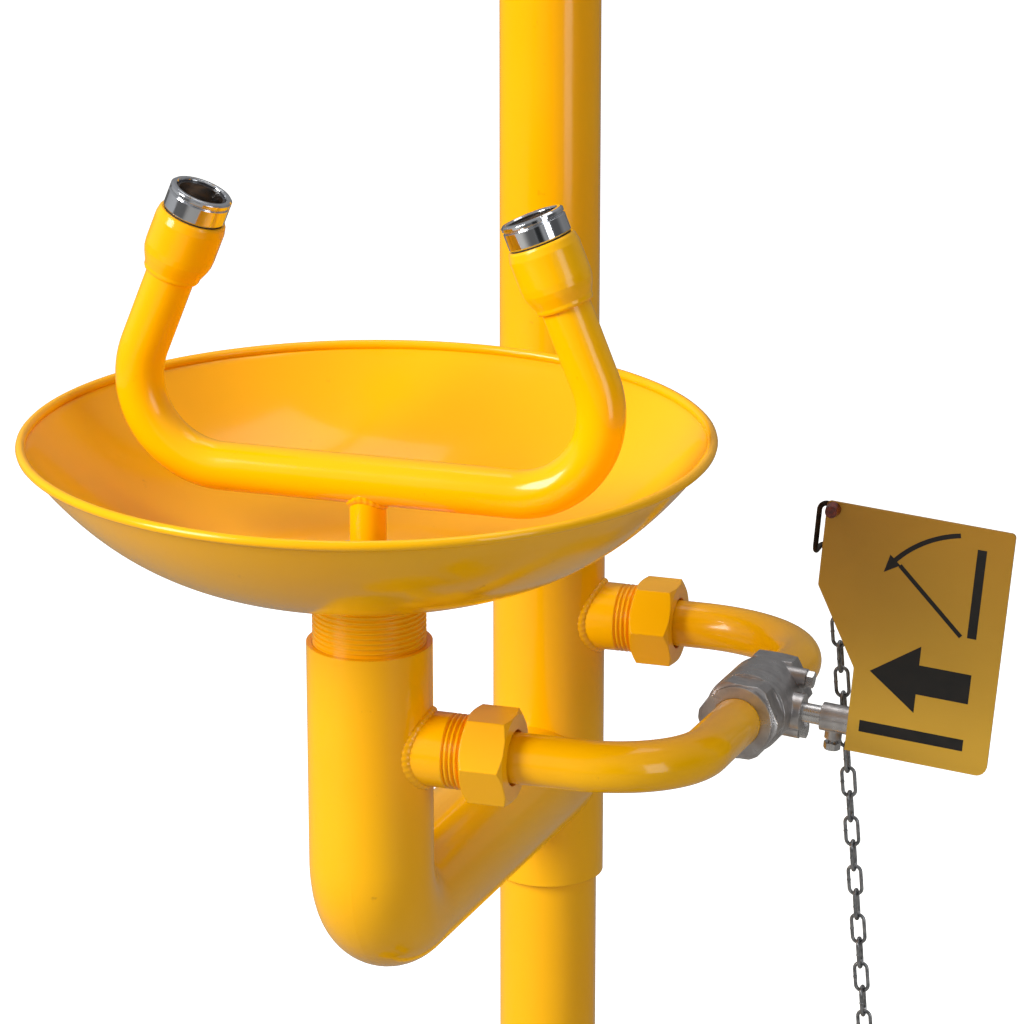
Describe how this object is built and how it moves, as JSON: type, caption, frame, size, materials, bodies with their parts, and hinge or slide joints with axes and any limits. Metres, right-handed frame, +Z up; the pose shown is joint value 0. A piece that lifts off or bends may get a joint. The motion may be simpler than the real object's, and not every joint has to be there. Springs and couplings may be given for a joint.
{
  "type": "emergency safety shower",
  "caption": "Floor-standing emergency shower and eyewash: standpipe, bowl with twin nozzles, push plate valve, foot treadle, overhead rose and pull rod.",
  "frame": {"origin": "centre of the floor flange's anchor circle, on the floor", "axes": "+Z up along the standpipe; -Y towards the user, where the bowl and the shower head are; +X towards the supply loop and push plate"},
  "size_m": [0.409, 0.8016, 2.336],
  "materials": {
    "yellow_coating": "gloss",
    "satin_steel": "satin",
    "chrome_plate": "polished",
    "black_rubber": "matte",
    "seat_plastic": "matte",
    "spray_plastic": "matte",
    "printed_sheet": "satin",
    "blackened_wire": "satin",
    "knob_plastic": "gloss"
  },
  "bodies": {
    "stand": {"floor_flange": "yellow_coating", "lower_pipe": "yellow_coating", "waste_outlet": "yellow_coating", "sleeve": "yellow_coating", "partition_plug": "satin_steel", "upper_pipe": "yellow_coating", "supply_inlet": "yellow_coating", "top_elbow": "yellow_coating", "arm_nipple": "yellow_coating", "shower_valve_body": "satin_steel", "shower_valve_cap": "satin_steel", "shower_arm": "yellow_coating", "shower_shell": "yellow_coating", "shower_rose": "satin_steel", "rose_screws": "satin_steel", "drain_leg": "yellow_coating", "bowl": "yellow_coating", "bowl_gasket": "black_rubber", "bowl_drain": "chrome_plate", "drain_collar": "yellow_coating", "drain_strainer": "satin_steel", "riser_pipe": "yellow_coating", "yoke_pipe": "yellow_coating", "left_cup": "yellow_coating", "right_cup": "yellow_coating", "left_ring": "chrome_plate", "right_ring": "chrome_plate", "left_spray": "spray_plastic", "right_spray": "spray_plastic", "nozzle_seals": "black_rubber", "rear_union_nut": "yellow_coating", "front_union_nut": "yellow_coating", "union_gaskets": "black_rubber", "rear_supply_pipe": "yellow_coating", "front_supply_pipe": "yellow_coating", "valve_body": "satin_steel", "valve_end_cap": "satin_steel", "valve_seats": "seat_plastic", "valve_bolts": "satin_steel", "treadle_bracket": "yellow_coating", "treadle_clamp": "yellow_coating", "clamp_bolts": "satin_steel", "treadle_pin": "satin_steel"},
    "push_lever": {"valve_ball": "chrome_plate", "valve_stem": "satin_steel", "lever_hub": "satin_steel", "hub_screw": "satin_steel", "push_plate": "printed_sheet", "stem_nut": "satin_steel", "plate_hook": "blackened_wire", "hook_knob": "knob_plastic"},
    "chain": {"chain": "satin_steel"},
    "treadle": {"treadle_plate": "yellow_coating", "treadle_bar": "satin_steel"},
    "shower_lever": {"shower_ball": "chrome_plate", "shower_stem": "satin_steel", "shower_lever": "satin_steel"},
    "pull_rod": {"pull_rod": "satin_steel", "pull_handle": "satin_steel"}
  },
  "joints": [
    {"name": "push_lever_turn", "type": "hinge", "parent": "stand", "child": "push_lever", "pos_m": [0.14, -0.132, 0.8457], "axis": [-0.9962, 0.0086, 0.0863], "range_deg": [0, 90]},
    {"name": "chain_swing", "type": "hinge", "parent": "push_lever", "child": "chain", "pos_m": [0.17177, -0.12227, 0.92175], "axis": [-0.9962, 0.0086, 0.0863], "range_deg": [-90, 0]},
    {"name": "treadle_turn", "type": "hinge", "parent": "stand", "child": "treadle", "pos_m": [0.17374, 0.07863, 0.06], "axis": [1, 0, 0], "range_deg": [0, 28.1]},
    {"name": "shower_lever_turn", "type": "hinge", "parent": "stand", "child": "shower_lever", "pos_m": [0, -0.15, 2.24], "axis": [1, 0, 0], "range_deg": [0, 90]},
    {"name": "pull_rod_swing", "type": "hinge", "parent": "shower_lever", "child": "pull_rod", "pos_m": [0.047, -0.29722, 2.325], "axis": [1, 0, 0], "range_deg": [-90, 0]}
  ],
  "couplings": [
    {"joint": "chain_swing", "follows": "push_lever_turn", "ratio": -0.934},
    {"joint": "treadle_turn", "follows": "push_lever_turn", "ratio": 0.3111},
    {"joint": "pull_rod_swing", "follows": "shower_lever_turn", "ratio": -1}
  ]
}
